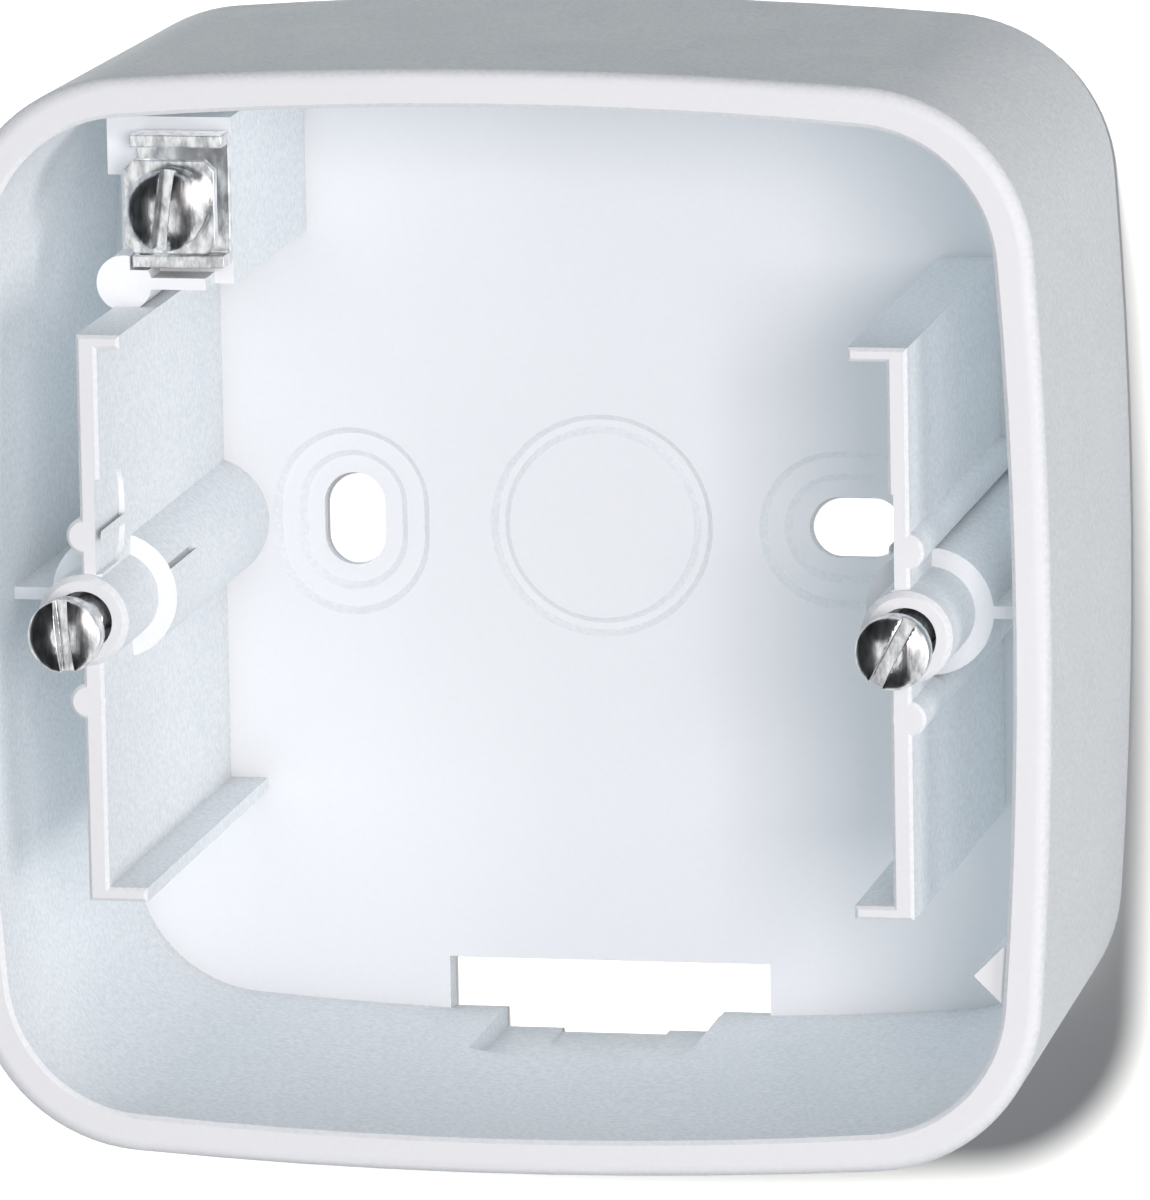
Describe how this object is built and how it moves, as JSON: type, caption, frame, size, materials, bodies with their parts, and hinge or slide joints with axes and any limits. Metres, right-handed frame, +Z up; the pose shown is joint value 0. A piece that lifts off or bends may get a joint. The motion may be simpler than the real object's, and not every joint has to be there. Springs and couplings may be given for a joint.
{
  "type": "surface back box",
  "caption": "Bowed square surface back box with an open front, screw posts on inner webs, fixing slots, a cable entry and a loop terminal.",
  "frame": {"origin": "centre of the flat back face, on the wall", "axes": "+X to the right and +Z up as seen from the front, +Y into the wall, so the open front faces -Y"},
  "size_m": [0.0804, 0.049, 0.0804],
  "materials": {
    "housing_plastic": "fine matte white moulding",
    "screw_plating": "bright nickel plating",
    "terminal_plating": "bright zinc plating"
  },
  "bodies": {
    "root": {"housing": "housing_plastic", "left_device_screw": "screw_plating", "right_device_screw": "screw_plating", "terminal_base": "terminal_plating", "terminal_clamp": "terminal_plating", "terminal_screw": "screw_plating"}
  },
  "joints": []
}
